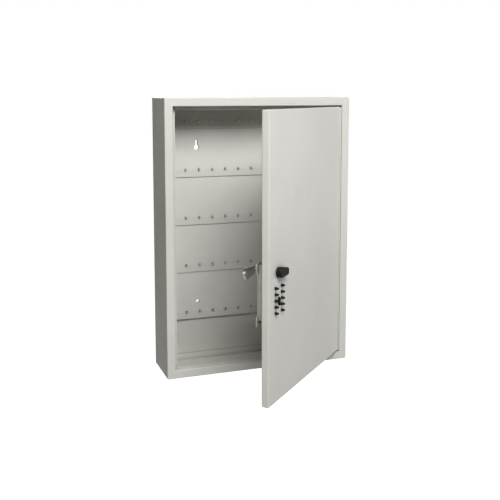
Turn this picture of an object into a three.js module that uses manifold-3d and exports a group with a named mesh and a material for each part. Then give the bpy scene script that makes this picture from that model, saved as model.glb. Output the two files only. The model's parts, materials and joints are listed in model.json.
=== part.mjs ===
// Wall key cabinet: a folded steel box with five rows of key hooks, and a door on a
// full-height piano hinge that carries a push-button lock.
// Millimetres. Origin at the centre of the wall face, +Y into the wall, +X to the
// right of someone facing the cabinet, +Z up. The door stands open.

import * as THREE from 'three';
import { mergeVertices } from 'three/addons/utils/BufferGeometryUtils.js';
import Module from 'manifold-3d';

const wasm = await Module();
wasm.setup();

// ---------------------------------------------------------------- driving dimensions

const WIDTH = 346;
const HEIGHT = 492;
const DEPTH = 94;
const SHEET = 1.2;
const GAP = 0.3;

const FLANGE = 15;
const JAMB_DEPTH = 14;
const LIP = 6.4;
const BOTTOM_LIP = 1;
const REAR_FLANGE = 13;
const WELD_MARK_Z = 77.4;

const STRIP_SHEET = 1;
const STRIP_PITCH = 88.9;
const STRIP_COUNT = 5;
const LOWEST_SEAM = 80;
const STRIP_OVERLAP = 7;
const HOOKS_PER_STRIP = 12;
const HOOK_PITCH = 25.4;
const HOOK_ABOVE_SEAM = 13.3;
const HOOK_HALF = 1.9;
const WINDOW = { half: 2.1, below: 2.3, above: 2.2 };

const KEYHOLE_X = 92.6;
const KEYHOLE_Z = 401;
const KEYHOLE_RADIUS = 5;
const KEYHOLE_SLOT = 4.8;
const KEYHOLE_TOP = 414.7;
const SCREW_HOLE_Z = 112.6;
const SCREW_HOLE_RADIUS = 3.2;

const DOOR_OPEN_DEG = 44.4;
const DOOR_THICK = 13;
const DOOR_FREE_GAP = 1.5;
const DOOR_TOP_GAP = 2;
const DOOR_BOTTOM_GAP = 2.5;
const DOOR_BACK_FLANGE = 12;

const BARREL_RADIUS = 2.4;
const PIN_RADIUS = 1.2;
const BARREL_BACK = 1.3;
const LEAF_SHEET = 0.95;
const LEAF_DEPTH = 12;
const KNUCKLES = 15;
const KNUCKLE_PITCH = 30.4;

const LOCK_FROM_LEFT = 51.5;
const SPINDLE_HEIGHT = 224.4;
const SPINDLE_RADIUS = 4;
const THREAD_RADIUS = 3;
const LEVER_REACH = 9.4;
const LEVER_GAP = 0.4;
const BUTTON_COLUMN = 11.8;
const BUTTON_ROWS = 5;
const BUTTON_PITCH = 9.85;
const TOP_BUTTON_HEIGHT = 201.6;
const BUTTON_TRAVEL = 2.5;
const BUTTON_REACH = 6;
const CLEAR_HEIGHT = 179;
const CLEAR_TRAVEL = 4;
const CASE_WIDTH = 43;
const CASE_BACK = 24.3;
const EAR_HALF = 27.5;
const CASE_TOP = 238;
const CASE_BOTTOM = 150;
const LEVER_TURN = 90;
const DRIVE_RADIUS = 8;
const BAR_TRAVEL = 3;
const BAR_CLEARANCE = 0.5;
const BAR_HALF = 2.8;

// ---------------------------------------------------------------- worked-out places

const FRONT = -DEPTH;
const HALF_W = WIDTH / 2;
const HALF_H = HEIGHT / 2;
const OPEN_X = HALF_W - FLANGE;
const OPEN_Z = HALF_H - FLANGE;
const LIP_FRONT = FRONT + JAMB_DEPTH;
const BACK_SHEET_FRONT = -SHEET;
const REAR_FLANGE_BACK = BACK_SHEET_FRONT - GAP;
const REAR_FLANGE_FRONT = REAR_FLANGE_BACK - SHEET;

const PIVOT_X = OPEN_X - GAP - BARREL_RADIUS;
const PIVOT_Y = FRONT + BARREL_BACK;

// The door's own frame: origin on the hinge axis, x along the shut door.
const DOOR_FACE = FRONT - PIVOT_Y;
const DOOR_SHEET_BACK = DOOR_FACE + SHEET;
const SPINDLE_FRONT = DOOR_FACE - 6.8;
const DOOR_BACK = DOOR_FACE + DOOR_THICK;
const DOOR_LEFT = -OPEN_X + DOOR_FREE_GAP - PIVOT_X;
const DOOR_RIGHT = -BARREL_RADIUS - GAP;
const DOOR_TOP = OPEN_Z - DOOR_TOP_GAP;
const DOOR_BOTTOM = -OPEN_Z + DOOR_BOTTOM_GAP;

const LOCK_X = -HALF_W + LOCK_FROM_LEFT - PIVOT_X;
const SPINDLE_Z = SPINDLE_HEIGHT - HALF_H;
const CASE_FRONT = DOOR_SHEET_BACK + GAP;
const CASE_WALL = 1.5;
const CASE_FLOOR = CASE_FRONT + CASE_WALL;
const PLATE_FRONT = CASE_BACK - BARREL_BACK + GAP;
const PLATE_SHEET = 1.5;
const PLATE_BACK = PLATE_FRONT + PLATE_SHEET;
const CASE_REAR = PLATE_FRONT - GAP;
const SCREW_X = 12.5;
const SCREW_RADIUS = 1.8;
const SCREW_PASSAGE = 2.2;
const POST_RADIUS = 3;
const POST_END = 4;
const COLUMN_RADIUS = 4.2;
const SCREW_TOP = 235 - HALF_H;
const SCREW_BOTTOM = 146.2 - HALF_H;
const GUIDE_FRONT = 14;
const GUIDE_BACK = 15.2;
const DETENT_FRONT = 16;
const DETENT_BACK = 17.2;
const CAM_FRONT = 34.5;
const CAM_BACK = 36.5;
const STEM_END = PLATE_FRONT - BUTTON_TRAVEL - 0.8;

// ---------------------------------------------------------------- solids

// The signed volume of a closed mesh is negative when its faces point inwards.
function signedVolume(vertices, triangles) {
  const [a, b, c] = [0, 1, 2].map(() => new THREE.Vector3());
  let volume = 0;
  for (let i = 0; i < triangles.length; i += 3) {
    a.fromArray(vertices, triangles[i] * 3);
    b.fromArray(vertices, triangles[i + 1] * 3);
    c.fromArray(vertices, triangles[i + 2] * 3);
    volume += a.dot(b.cross(c)) / 6;
  }
  return volume;
}

function toSolid(geometry) {
  const bare = geometry.clone();
  bare.deleteAttribute('normal');
  bare.deleteAttribute('uv');
  const merged = mergeVertices(bare, 1e-4);
  const vertices = merged.getAttribute('position').array;
  const index = merged.getIndex().array;
  const triangles = [];
  for (let i = 0; i < index.length; i += 3) {
    const [a, b, c] = [index[i], index[i + 1], index[i + 2]];
    if (a !== b && b !== c && c !== a) triangles.push(a, b, c);
  }
  if (signedVolume(vertices, triangles) < 0) triangles.reverse();
  return new wasm.Manifold(new wasm.Mesh({
    numProp: 3,
    vertProperties: new Float32Array(vertices),
    triVerts: new Uint32Array(triangles),
  }));
}

function toGeometry(solid) {
  const mesh = solid.getMesh();
  const geometry = new THREE.BufferGeometry();
  geometry.setAttribute('position', new THREE.BufferAttribute(mesh.vertProperties, 3));
  geometry.setIndex(new THREE.BufferAttribute(mesh.triVerts, 1));
  geometry.computeVertexNormals();
  return geometry;
}

function join(solids) {
  return solids.reduce((whole, piece) => whole.add(piece));
}

function cut(solid, tools) {
  return tools.reduce((rest, tool) => rest.subtract(tool), solid);
}

// A box between two corners.
function box(x0, x1, y0, y1, z0, z1) {
  const geometry = new THREE.BoxGeometry(x1 - x0, y1 - y0, z1 - z0);
  geometry.translate((x0 + x1) / 2, (y0 + y1) / 2, (z0 + z1) / 2);
  return toSolid(geometry);
}

// A rectangular frame seen from the front, cut from a box of half sizes hx and hz.
function frame(hx, hz, y0, y1, inner) {
  const hole = box(-inner.x, inner.x, y0 - 1, y1 + 1, -inner.bottom, inner.top);
  return box(-hx, hx, y0, y1, -hz, hz).subtract(hole);
}

// A round bar along Y.
function barY(radius, x, y0, y1, z, sides = 20) {
  const geometry = new THREE.CylinderGeometry(radius, radius, y1 - y0, sides);
  geometry.translate(x, (y0 + y1) / 2, z);
  return toSolid(geometry);
}

// A round bar along Z.
function barZ(radius, x, y, z0, z1, sides = 12) {
  const geometry = new THREE.CylinderGeometry(radius, radius, z1 - z0, sides);
  geometry.rotateX(Math.PI / 2);
  geometry.translate(x, y, (z0 + z1) / 2);
  return toSolid(geometry);
}

// An outline turned about a line along Y: pairs of radius and y, from axis to axis.
function turned(profile, sides = 16) {
  const points = profile.map(([radius, y]) => new THREE.Vector2(radius, y));
  return toSolid(new THREE.LatheGeometry(points, sides));
}

// An outline in Y and Z drawn out along X.
function alongX(outline, x0, x1) {
  const shape = new THREE.Shape(outline.map(([y, z]) => new THREE.Vector2(y, z)));
  const geometry = new THREE.ExtrudeGeometry(shape, { depth: x1 - x0, bevelEnabled: false });
  geometry.applyMatrix4(new THREE.Matrix4().set(0, 0, 1, x0, 1, 0, 0, 0, 0, 1, 0, 0, 0, 0, 0, 1));
  return toSolid(geometry);
}

// An outline seen from the front, in X and Z, drawn back from y0 to y1.
function alongY(shape, y0, y1, curveSegments = 10) {
  const geometry = new THREE.ExtrudeGeometry(shape, {
    depth: y1 - y0,
    bevelEnabled: false,
    curveSegments,
  });
  geometry.rotateX(Math.PI / 2);
  geometry.translate(0, y1, 0);
  return toSolid(geometry);
}

class Helix extends THREE.Curve {
  constructor(radius, length, turns) {
    super();
    Object.assign(this, { radius, length, turns });
  }

  getPoint(t, target = new THREE.Vector3()) {
    const angle = 2 * Math.PI * this.turns * t;
    const [x, z] = [Math.cos(angle), Math.sin(angle)].map((part) => this.radius * part);
    return target.set(x, this.length * t, z);
  }
}

// A coil spring along Y that starts at the origin.
function coil(radius, wire, length, turns, stepsPerTurn = 7) {
  const sides = 4;
  const corner = (i) => new THREE.Vector2(
    (wire / 2) * Math.cos((2 * Math.PI * i) / sides),
    (wire / 2) * Math.sin((2 * Math.PI * i) / sides),
  );
  const section = new THREE.Shape(Array.from({ length: sides }, (_, i) => corner(i)));
  return toSolid(new THREE.ExtrudeGeometry(section, {
    steps: Math.round(turns * stepsPerTurn),
    bevelEnabled: false,
    extrudePath: new Helix(radius, length, turns),
  }));
}

// ---------------------------------------------------------------- finishes

const PAINT = { color: 0xccc9bf, roughness: 0.5, metalness: 0 };
const ZINC = { color: 0xb9bbb8, roughness: 0.35, metalness: 0.9 };
const CAST = { color: 0xa9aaa6, roughness: 0.5, metalness: 0.8 };
const BLACK = { color: 0x23221f, roughness: 0.4, metalness: 0 };
const SPRING = { color: 0x8d8f90, roughness: 0.3, metalness: 1 };
const BLACK_STEEL = { color: 0x2a2a2b, roughness: 0.4, metalness: 0.7 };
const BRASS = { color: 0xb79a5c, roughness: 0.35, metalness: 0.9 };

function piece(name, solid, finish) {
  const mesh = new THREE.Mesh(toGeometry(solid), new THREE.MeshStandardMaterial(finish));
  mesh.name = name;
  return mesh;
}

// ---------------------------------------------------------------- cabinet

// One folded and welded wrapper: walls, front flange, jamb, stop lip and rear flange.
function cabinetBody() {
  const wallInside = { x: HALF_W - SHEET, top: HALF_H - SHEET, bottom: HALF_H - SHEET };
  const opening = { x: OPEN_X, top: OPEN_Z, bottom: OPEN_Z };
  const lipEdge = { x: OPEN_X - LIP, top: OPEN_Z - LIP, bottom: OPEN_Z - BOTTOM_LIP };
  const rearEdge = {
    x: HALF_W - REAR_FLANGE,
    top: HALF_H - REAR_FLANGE,
    bottom: HALF_H - REAR_FLANGE,
  };
  const walls = frame(HALF_W, HALF_H, FRONT, REAR_FLANGE_BACK, wallInside);
  const flange = frame(HALF_W, HALF_H, FRONT, FRONT + SHEET, opening);
  const jamb = frame(OPEN_X + SHEET, OPEN_Z + SHEET, FRONT, LIP_FRONT + SHEET, opening);
  const lip = frame(OPEN_X + SHEET, OPEN_Z + SHEET, LIP_FRONT, LIP_FRONT + SHEET, lipEdge);
  const rear = frame(HALF_W, HALF_H, REAR_FLANGE_FRONT, REAR_FLANGE_BACK, rearEdge);
  const weldMark = (z) => barY(2.4, OPEN_X + 4.6, FRONT - 1, FRONT + 0.35, z, 12);
  return cut(join([walls, flange, jamb, lip, rear]), [WELD_MARK_Z, -WELD_MARK_Z].map(weldMark));
}

// Every screw passage in the back, each as a cutting tool: two keyholes above, two
// round holes below.
function wallScrewHoles() {
  const [y0, y1] = [-12, 1];
  const holes = [];
  for (const side of [-1, 1]) {
    const x = side * KEYHOLE_X;
    const slot = KEYHOLE_SLOT / 2;
    const bottom = KEYHOLE_Z - HALF_H;
    const top = KEYHOLE_TOP - HALF_H - slot;
    holes.push(barY(KEYHOLE_RADIUS, x, y0, y1, bottom));
    holes.push(box(x - slot, x + slot, y0, y1, bottom, top));
    holes.push(barY(slot, x, y0, y1, top, 16));
    holes.push(barY(SCREW_HOLE_RADIUS, x, y0, y1, SCREW_HOLE_Z - HALF_H, 16));
  }
  return holes;
}

function backPanel() {
  return cut(box(-HALF_W, HALF_W, BACK_SHEET_FRONT, 0, -HALF_H, HALF_H), wallScrewHoles());
}

// A key hook is a tongue lanced out of the strip: it leans out and turns up at its tip.
function hookTongue(x, z, faceY) {
  return alongX([
    [faceY + 0.8, z - 3.5],
    [faceY + 0.1, z - 3.5],
    [faceY - 1.1, z - 2.7],
    [faceY - 3.3, z - 1.6],
    [faceY - 4.4, z + 1.2],
    [faceY - 3.5, z + 1.5],
    [faceY - 2.6, z - 0.8],
    [faceY - 0.6, z - 1.8],
    [faceY + 0.8, z - 2.4],
  ], x - HOOK_HALF, x + HOOK_HALF);
}

// Each strip hangs over the top edge of the strip below it, like a shingle, and folds
// slightly outwards along its row of hooks.
function hookStrip(row) {
  const seam = LOWEST_SEAM + row * STRIP_PITCH - HALF_H;
  const fold = seam + HOOK_ABOVE_SEAM;
  const tucked = Math.min(seam + STRIP_PITCH + STRIP_OVERLAP, HALF_H - SHEET - 1);
  const [edgeY, foldY, topY] = [-6.2, -6.9, -4.1];
  const halfLength = HALF_W - SHEET - 0.6;
  const front = [[edgeY, seam], [foldY, fold], [topY, tucked]];
  const back = front.map(([y, z]) => [y + STRIP_SHEET, z]).reverse();
  const tools = wallScrewHoles();
  const hooks = [];
  for (let i = 0; i < HOOKS_PER_STRIP; i += 1) {
    const x = (i - (HOOKS_PER_STRIP - 1) / 2) * HOOK_PITCH;
    tools.push(box(
      x - WINDOW.half, x + WINDOW.half, foldY - 2, foldY + 3,
      fold - WINDOW.below, fold + WINDOW.above,
    ));
    hooks.push(hookTongue(x, fold, foldY));
  }
  const sheet = alongX([...front, ...back], -halfLength, halfLength);
  return join([cut(sheet, tools), ...hooks]);
}

// The keeper that the latch cam turns behind, on the left wall.
function latchStrike() {
  const [sheet, reach, leg, half] = [1.5, 14.5, 20, 24];
  const wall = -HALF_W + SHEET + GAP;
  const catchBack = PIVOT_Y + CAM_FRONT - 0.4;
  const catchFront = catchBack - sheet;
  const [low, high] = [SPINDLE_Z - half, SPINDLE_Z + half];
  const wallLeg = box(wall, wall + sheet, catchFront, catchBack + leg, low, high);
  return wallLeg.add(box(wall, wall + reach, catchFront, catchBack, low, high));
}

// ---------------------------------------------------------------- hinge

const KNUCKLE_LOW = -(KNUCKLES * KNUCKLE_PITCH) / 2;

// One leaf of the piano hinge in the door's frame, side -1 for the door and 1 for the
// cabinet: a plate with every second knuckle rolled onto it.
function hingeLeaf(side, firstKnuckle) {
  const [outer, inner] = [side * BARREL_RADIUS, side * (BARREL_RADIUS - LEAF_SHEET)];
  const [x0, x1] = [Math.min(outer, inner), Math.max(outer, inner)];
  const clear = BARREL_RADIUS + 0.5;
  const [low, high] = [KNUCKLE_LOW, -KNUCKLE_LOW];
  const solids = [box(x0, x1, clear, LEAF_DEPTH - 0.5, low, high)];
  const bores = [];
  for (let i = firstKnuckle; i < KNUCKLES; i += 2) {
    const z0 = KNUCKLE_LOW + i * KNUCKLE_PITCH + GAP / 2;
    const z1 = z0 + KNUCKLE_PITCH - GAP;
    solids.push(barZ(BARREL_RADIUS, 0, 0, z0, z1));
    solids.push(box(x0, x1, 0, clear + 0.5, z0, z1));
    bores.push(barZ(PIN_RADIUS + GAP, 0, 0, z0 - 1, z1 + 1, 8));
  }
  return cut(join(solids), bores);
}

function hingePin() {
  return barZ(PIN_RADIUS, 0, 0, KNUCKLE_LOW - 0.6, -KNUCKLE_LOW + 0.6, 12);
}

// ---------------------------------------------------------------- door

const buttonPlaces = [];
for (const side of [-1, 1]) {
  for (let row = 0; row < BUTTON_ROWS; row += 1) {
    buttonPlaces.push([
      LOCK_X + side * BUTTON_COLUMN,
      TOP_BUTTON_HEIGHT - HALF_H - row * BUTTON_PITCH,
    ]);
  }
}
const CLEAR_Z = CLEAR_HEIGHT - HALF_H;
const screwPlaces = [-1, 1].flatMap((side) => [SCREW_TOP, SCREW_BOTTOM].map(
  (z) => [LOCK_X + side * SCREW_X, z],
));

// The passages that the lock's moving pieces take through a front sheet.
function lockHoles(y0, y1) {
  const holes = buttonPlaces.map(([x, z]) => barY(2.95, x, y0, y1, z, 12));
  holes.push(barY(SPINDLE_RADIUS + 0.6, LOCK_X, y0, y1, SPINDLE_Z));
  holes.push(box(LOCK_X - 1.6, LOCK_X + 1.6, y0, y1, CLEAR_Z - 6.5, CLEAR_Z + 6.5));
  return holes;
}

// A shallow pan: face sheet, four side returns and a narrow flange all round its back.
function doorPanel() {
  const pan = box(DOOR_LEFT, DOOR_RIGHT, DOOR_FACE, DOOR_BACK, DOOR_BOTTOM, DOOR_TOP);
  const inside = (inset, y0, y1) => box(
    DOOR_LEFT + inset, DOOR_RIGHT - inset, y0, y1, DOOR_BOTTOM + inset, DOOR_TOP - inset,
  );
  const hollow = inside(SHEET, DOOR_SHEET_BACK, DOOR_BACK - SHEET);
  const rear = inside(DOOR_BACK_FLANGE, DOOR_BACK - SHEET - 1, DOOR_BACK + 1);
  const posts = screwPlaces.map(
    ([x, z]) => barY(POST_RADIUS, x, DOOR_SHEET_BACK - 0.5, POST_END, z, 10),
  );
  const threads = screwPlaces.map(
    ([x, z]) => barY(SCREW_RADIUS + GAP, x, DOOR_SHEET_BACK + 0.2, POST_END + 1, z, 8),
  );
  const shell = cut(pan, [hollow, rear]);
  return cut(join([shell, ...posts]), [...threads, ...lockHoles(DOOR_FACE - 1, CASE_FLOOR)]);
}

// ---------------------------------------------------------------- lock, fixed pieces

// A cast case, open at the back, with a screw column beyond each end.
function lockHousing() {
  const half = CASE_WIDTH / 2;
  const columnStart = POST_END + GAP;
  const [low, high] = [CASE_BOTTOM - HALF_H, CASE_TOP - HALF_H];
  const block = box(LOCK_X - half, LOCK_X + half, CASE_FRONT, CASE_REAR, low, high);
  const hollow = box(
    LOCK_X - half + CASE_WALL, LOCK_X + half - CASE_WALL, CASE_FLOOR, CASE_REAR + 1,
    low + CASE_WALL, high - CASE_WALL,
  );
  const columns = screwPlaces.map(([x, z]) => {
    const end = z > SPINDLE_Z ? high - 1 : low + 1;
    const post = barY(COLUMN_RADIUS, x, columnStart, CASE_REAR, z, 12);
    const [z0, z1] = [Math.min(z, end), Math.max(z, end)];
    return post.add(box(x - 3, x + 3, columnStart, CASE_REAR, z0, z1));
  });
  const bores = screwPlaces.map(
    ([x, z]) => barY(SCREW_PASSAGE, x, columnStart - 1, CASE_REAR + 1, z, 8),
  );
  const pockets = screwPlaces.map(
    ([x, z]) => barY(POST_RADIUS + GAP, x, CASE_FRONT - 1, columnStart, z, 10),
  );
  // Two rails guide the locking bar.
  const [railLow, railLength, railBack] = [SPINDLE_Z - 18, 7, 13.6];
  const rails = [-1, 1].map((side) => {
    const [near, far] = [BAR_HALF + 0.5, BAR_HALF + 2.2].map((x) => side * x).sort((a, b) => a - b);
    return box(
      LOCK_X + near, LOCK_X + far, CASE_FLOOR - 0.5, railBack, railLow, railLow + railLength,
    );
  });
  const springSeat = box(
    LOCK_X - 3, LOCK_X + 3, CASE_FLOOR - 0.5, 6, CLEAR_Z + 22, CLEAR_Z + 24,
  );
  const shell = cut(join([block.subtract(hollow), ...columns]), [...bores, ...pockets]);
  return cut(join([shell, ...rails, springSeat]), lockHoles(CASE_FRONT - 1, CASE_FLOOR + 0.5));
}

// A plate behind the lock with rounded corners, between two heights.
function lockPlate(half, low, high, corner) {
  const [left, right] = [LOCK_X - half, LOCK_X + half];
  const shape = new THREE.Shape();
  shape.moveTo(left + corner, low);
  shape.lineTo(right - corner, low);
  shape.quadraticCurveTo(right, low, right, low + corner);
  shape.lineTo(right, high - corner);
  shape.quadraticCurveTo(right, high, right - corner, high);
  shape.lineTo(left + corner, high);
  shape.quadraticCurveTo(left, high, left, high - corner);
  shape.lineTo(left, low + corner);
  shape.quadraticCurveTo(left, low, left + corner, low);
  return alongY(shape, PLATE_FRONT, PLATE_BACK, 5);
}

// The sheet that closes the case, with wider rounded ears under the four screws.
function lockRearPlate() {
  const [low, high] = [SCREW_BOTTOM - 6, SCREW_TOP + 6];
  const through = (radius, x, z) => barY(radius, x, PLATE_FRONT - 1, PLATE_BACK + 1, z, 14);
  const holes = screwPlaces.map(([x, z]) => through(SCREW_PASSAGE, x, z));
  return cut(join([
    lockPlate(CASE_WIDTH / 2, low + 1, high - 1, 2),
    lockPlate(EAR_HALF, high - 14, high, 5),
    lockPlate(EAR_HALF, low, low + 14, 5),
  ]), [...holes, through(SPINDLE_RADIUS + 0.6, LOCK_X, SPINDLE_Z)]);
}

// Pan-head screw from the rear plate into the door's post, with a cross recess.
function lockScrew() {
  const head = PLATE_BACK + GAP;
  const screw = turned([
    [0, 1.2], [SCREW_RADIUS, 1.2], [SCREW_RADIUS, head], [3.6, head], [3.4, head + 1.6],
    [2.2, head + 2.5],
    [0, head + 2.7],
  ], 14);
  const slot = (x, z) => box(-x, x, head + 1.6, head + 4, -z, z);
  return cut(screw, [slot(2, 0.4), slot(0.4, 2)]);
}

// The sheet inside the case that guides the ends of the button stems.
function buttonGuidePlate() {
  const low = CASE_BOTTOM - HALF_H + CASE_WALL + GAP;
  const high = buttonPlaces[0][1] + 5;
  const plate = box(LOCK_X - 19.6, LOCK_X + 19.6, GUIDE_FRONT, GUIDE_BACK, low, high);
  const holes = buttonPlaces.map(([x, z]) => barY(2.1, x, GUIDE_FRONT - 1, GUIDE_BACK + 1, z, 10));
  const slot = box(
    LOCK_X - 2.6, LOCK_X + 2.6, GUIDE_FRONT - 1, GUIDE_BACK + 1, CLEAR_Z - 6, CLEAR_Z + 9,
  );
  return cut(plate, [...holes, slot]);
}

// ---------------------------------------------------------------- lock, moving pieces

const COLLAR = 1.2;

// A tapered button with a retaining collar and a stem that goes through the detent plate.
function button() {
  const tip = DOOR_FACE - BUTTON_REACH;
  const collar = CASE_FLOOR + GAP;
  return turned([
    [0, tip], [1.1, tip + 0.2], [1.75, tip + 0.9], [2.1, tip + 3.4], [2.6, tip + 4.8],
    [2.6, collar], [3.8, collar], [3.8, collar + COLLAR], [1.7, collar + COLLAR],
    [1.7, STEM_END], [0, STEM_END],
  ], 12);
}

const BUTTON_SPRING_START = CASE_FLOOR + GAP + COLLAR + 0.6;

function buttonSpring() {
  return coil(2.9, 0.5, GUIDE_FRONT - 0.6 - BUTTON_SPRING_START, 3);
}

// The thumb tab, its flat slider inside the case, and the post that lifts the detent.
function clearSlide() {
  const slider = CASE_FLOOR + GAP;
  const [half, low, neckTop, tabTop] = [1.3, -6.2, 2.2, 6.8];
  const tab = alongX([
    [slider + 0.5, low],
    [DOOR_FACE - 3.6, low],
    [DOOR_FACE - 3.6, low + 3],
    [DOOR_FACE - 3.2, tabTop - 1.8],
    [DOOR_FACE - 1.2, tabTop],
    [DOOR_FACE - GAP, tabTop],
    [DOOR_FACE - GAP, neckTop],
    [slider + 0.5, neckTop],
  ], -half, half);
  return join([
    tab,
    box(-3.6, 3.6, slider, slider + 1.4, -10, 11),
    box(-1.6, 1.6, slider, DETENT_FRONT - GAP, -2.5, 2.5),
  ]);
}

function clearSpring() {
  const spring = coil(1.5, 0.45, 10, 4, 6);
  return spring.rotate([90, 0, 0]);
}

// A flat sheet whose slots hold the button stems down until it is lifted.
function detentPlate() {
  const [low, high] = [buttonPlaces[BUTTON_ROWS - 1][1] - 8.4, buttonPlaces[0][1] + 4];
  const plate = box(LOCK_X - 17, LOCK_X + 17, DETENT_FRONT, DETENT_BACK, low, high);
  const slots = buttonPlaces.map(([x, z]) => box(
    x - 2.2, x + 2.2, DETENT_FRONT - 1, DETENT_BACK + 1, z - 2.2 - CLEAR_TRAVEL, z + 2.2,
  ));
  return cut(plate, slots);
}

// The turn lever: a round heel about the spindle that runs into a short, slightly
// drooping bar with rounded corners.
function lever() {
  const [heelX, heelZ, heel] = [-3, 0.8, 8.3];
  const [reach, top, bottom, corner] = [21.2, 4.8, -6.8, 2.2];
  const [front, back] = [DOOR_FACE - LEVER_REACH, DOOR_FACE - LEVER_GAP];
  // The bar's edges leave the heel where they touch its circle.
  const touch = (z) => Math.acos(heel / Math.hypot(reach - heelX, z - heelZ));
  const bearing = (z) => Math.atan2(z - heelZ, reach - heelX);
  const [start, end] = [bearing(top) + touch(top), bearing(bottom) - touch(bottom)];
  const shape = new THREE.Shape();
  shape.absarc(heelX, heelZ, heel, start, 2 * Math.PI + end, false);
  shape.lineTo(reach - corner, bottom - 0.2);
  shape.quadraticCurveTo(reach, bottom, reach, bottom + corner);
  shape.lineTo(reach, top - corner);
  shape.quadraticCurveTo(reach, top, reach - corner, top + 0.2);
  shape.closePath();
  const socket = barY(SPINDLE_RADIUS + GAP, 0, SPINDLE_FRONT - GAP, back + 1, 0);
  const fingerRelief = box(11, reach + 1, back - 2.2, back + 1, -10, 10);
  return cut(alongY(shape, front, back, 16), [socket, fingerRelief]);
}

// The shaft from the lever to the latch cam: a shoulder stands behind the rear plate.
function spindle() {
  const shoulder = PLATE_BACK + GAP;
  return turned([
    [0, SPINDLE_FRONT], [SPINDLE_RADIUS, SPINDLE_FRONT], [SPINDLE_RADIUS, shoulder],
    [7, shoulder], [7, CAM_FRONT - GAP], [THREAD_RADIUS, CAM_FRONT - GAP],
    [THREAD_RADIUS, CAM_BACK + 6.4], [0, CAM_BACK + 6.4],
  ], 20);
}

// A spiral disc on the spindle: its radius grows by the bar's travel in a quarter turn,
// so it pushes the locking bar down as the lever turns.
function driveCam() {
  const [overrun, steps] = [8, 12];
  const back = LEVER_TURN + overrun;
  const shape = new THREE.Shape();
  const point = (deg, radius) => {
    const angle = THREE.MathUtils.degToRad(deg);
    return [-radius * Math.sin(angle), -radius * Math.cos(angle)];
  };
  shape.moveTo(...point(-overrun, DRIVE_RADIUS));
  for (let i = 0; i <= steps; i += 1) {
    const deg = (back * i) / steps;
    const done = Math.min(deg, LEVER_TURN) / LEVER_TURN;
    shape.lineTo(...point(deg, DRIVE_RADIUS + BAR_TRAVEL * done));
  }
  for (let i = 1; i <= steps; i += 1) {
    const deg = back + ((360 - overrun - back) * i) / steps;
    shape.lineTo(...point(deg, DRIVE_RADIUS + BAR_TRAVEL * Math.max(0, 1 - i / 3)));
  }
  const bore = barY(SPINDLE_RADIUS + GAP, 0, 7, 14, 0);
  return alongY(shape, 8.5, 12.5).subtract(bore);
}

// The bar under the drive cam: its narrow head follows the cam.
function lockingBar() {
  const [front, back, length, head] = [8.8, 12.2, 7.6, 1.2];
  const top = SPINDLE_Z - DRIVE_RADIUS - BAR_CLEARANCE;
  const bar = box(LOCK_X - BAR_HALF, LOCK_X + BAR_HALF, front, back, top - length, top - head);
  return bar.add(box(LOCK_X - head, LOCK_X + head, front, back, top - head - 1, top));
}

// The arm that turns behind the strike: it reaches past the door's free edge and its
// tip is turned back.
function latchCam() {
  const [hubTop, top, tip] = [8.7, 10.3, 43.6];
  const tipOutline = (shape) => {
    shape.quadraticCurveTo(0.6 - tip, top, -tip, 2);
    shape.quadraticCurveTo(-0.2 - tip, -4, -37, -7.6);
  };
  const arm = new THREE.Shape();
  arm.moveTo(6.5, -6);
  arm.quadraticCurveTo(7.5, 0, 5.5, 6);
  arm.lineTo(2, hubTop);
  arm.lineTo(-34, top);
  tipOutline(arm);
  arm.lineTo(-31, -7);
  arm.lineTo(-8, -3.2);
  arm.quadraticCurveTo(0, -9.5, 6.5, -6);
  const rim = new THREE.Shape();
  rim.moveTo(-30, top - 0.25);
  rim.lineTo(-34, top);
  tipOutline(rim);
  rim.lineTo(-36.4, -6.2);
  rim.quadraticCurveTo(-42.2, -3, -42, 2);
  rim.quadraticCurveTo(-41.6, top - 1.6, -34, top - 1.6);
  rim.lineTo(-30, top - 1.85);
  const bore = barY(THREAD_RADIUS + GAP, 0, CAM_FRONT - 1, CAM_BACK + 1, 0, 16);
  const plate = alongY(arm, CAM_FRONT, CAM_BACK, 6);
  return cut(plate.add(alongY(rim, CAM_FRONT, CAM_BACK + 2.4, 6)), [bore]);
}

// Hexagon nut with a round flange.
function camNut() {
  const start = CAM_BACK + GAP;
  const flange = barY(6.8, 0, start, start + 1.2, 0);
  const hexagon = barY(5.6, 0, start + 0.6, start + 5, 0, 6);
  return flange.add(hexagon).subtract(barY(THREAD_RADIUS + GAP, 0, start - 1, start + 6, 0, 16));
}

function leverSpring() {
  return coil(6.2, 1, 5, 3, 10);
}

// ---------------------------------------------------------------- assembly

const keyCabinet = new THREE.Group();
keyCabinet.add(piece('cabinet_body', cabinetBody(), PAINT));
keyCabinet.add(piece('back_panel', backPanel(), PAINT));
for (let row = 0; row < STRIP_COUNT; row += 1) {
  keyCabinet.add(piece(`hook_strip_${row + 1}`, hookStrip(row), PAINT));
}
keyCabinet.add(piece('latch_strike', latchStrike(), ZINC));

const hinge = new THREE.Group();
hinge.position.set(PIVOT_X, PIVOT_Y, 0);
hinge.add(piece('hinge_leaf_cabinet', hingeLeaf(1, 0), PAINT));
hinge.add(piece('hinge_pin', hingePin(), ZINC));
keyCabinet.add(hinge);

const door = new THREE.Group();
door.rotation.z = THREE.MathUtils.degToRad(DOOR_OPEN_DEG);
hinge.add(door);
door.add(piece('hinge_leaf_door', hingeLeaf(-1, 1), PAINT));
door.add(piece('door_panel', doorPanel(), PAINT));
door.add(piece('lock_housing', lockHousing(), CAST));
door.add(piece('lock_rear_plate', lockRearPlate(), ZINC));
door.add(piece('button_guide_plate', buttonGuidePlate(), ZINC));
screwPlaces.forEach(([x, z], i) => {
  const screw = piece(`lock_screw_${i + 1}`, lockScrew(), BLACK_STEEL);
  screw.position.set(x, 0, z);
  door.add(screw);
});

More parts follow.
